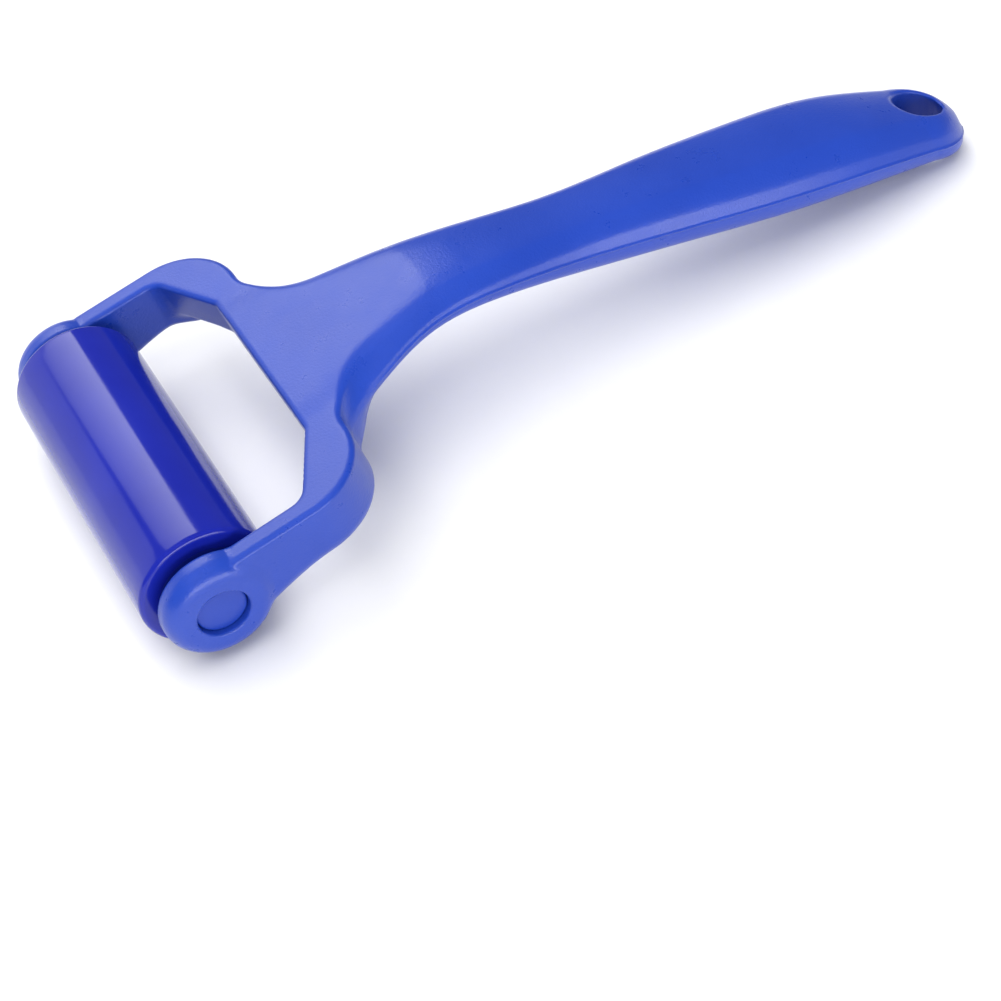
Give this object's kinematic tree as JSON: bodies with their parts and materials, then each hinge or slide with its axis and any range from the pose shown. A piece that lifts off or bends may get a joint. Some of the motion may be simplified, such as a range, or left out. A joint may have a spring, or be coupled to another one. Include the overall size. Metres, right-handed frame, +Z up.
{
  "type": "rubber hand roller",
  "caption": "Hand roller: a soft silicone sleeve on a snap-in core turns freely between the arms of a one-piece curved handle with a hanging hole.",
  "frame": {"origin": "bottom centre of the bounding box, on the surface that the roller and the grip's heel rest on", "axes": "+X from the roller towards the grip's tip, +Y along the roller's axis, +Z up"},
  "size_m": [0.1534, 0.0626, 0.0244],
  "materials": {
    "handle_plastic": "satin moulded, fine grain",
    "silicone": "mirror-smooth tacky silicone",
    "core_plastic": "plain moulded",
    "plug_plastic": "satin moulded"
  },
  "bodies": {
    "handle": {"handle_frame": "handle_plastic"},
    "roller": {"silicone_sleeve": "silicone", "roller_core": "core_plastic", "left_end_plug": "plug_plastic", "right_end_plug": "plug_plastic"}
  },
  "joints": [
    {"name": "roller_spin", "type": "hinge", "parent": "handle", "child": "roller", "pos_m": [-0.06669, 0, 0.01], "axis": [0, 1, 0], "continuous": true}
  ]
}
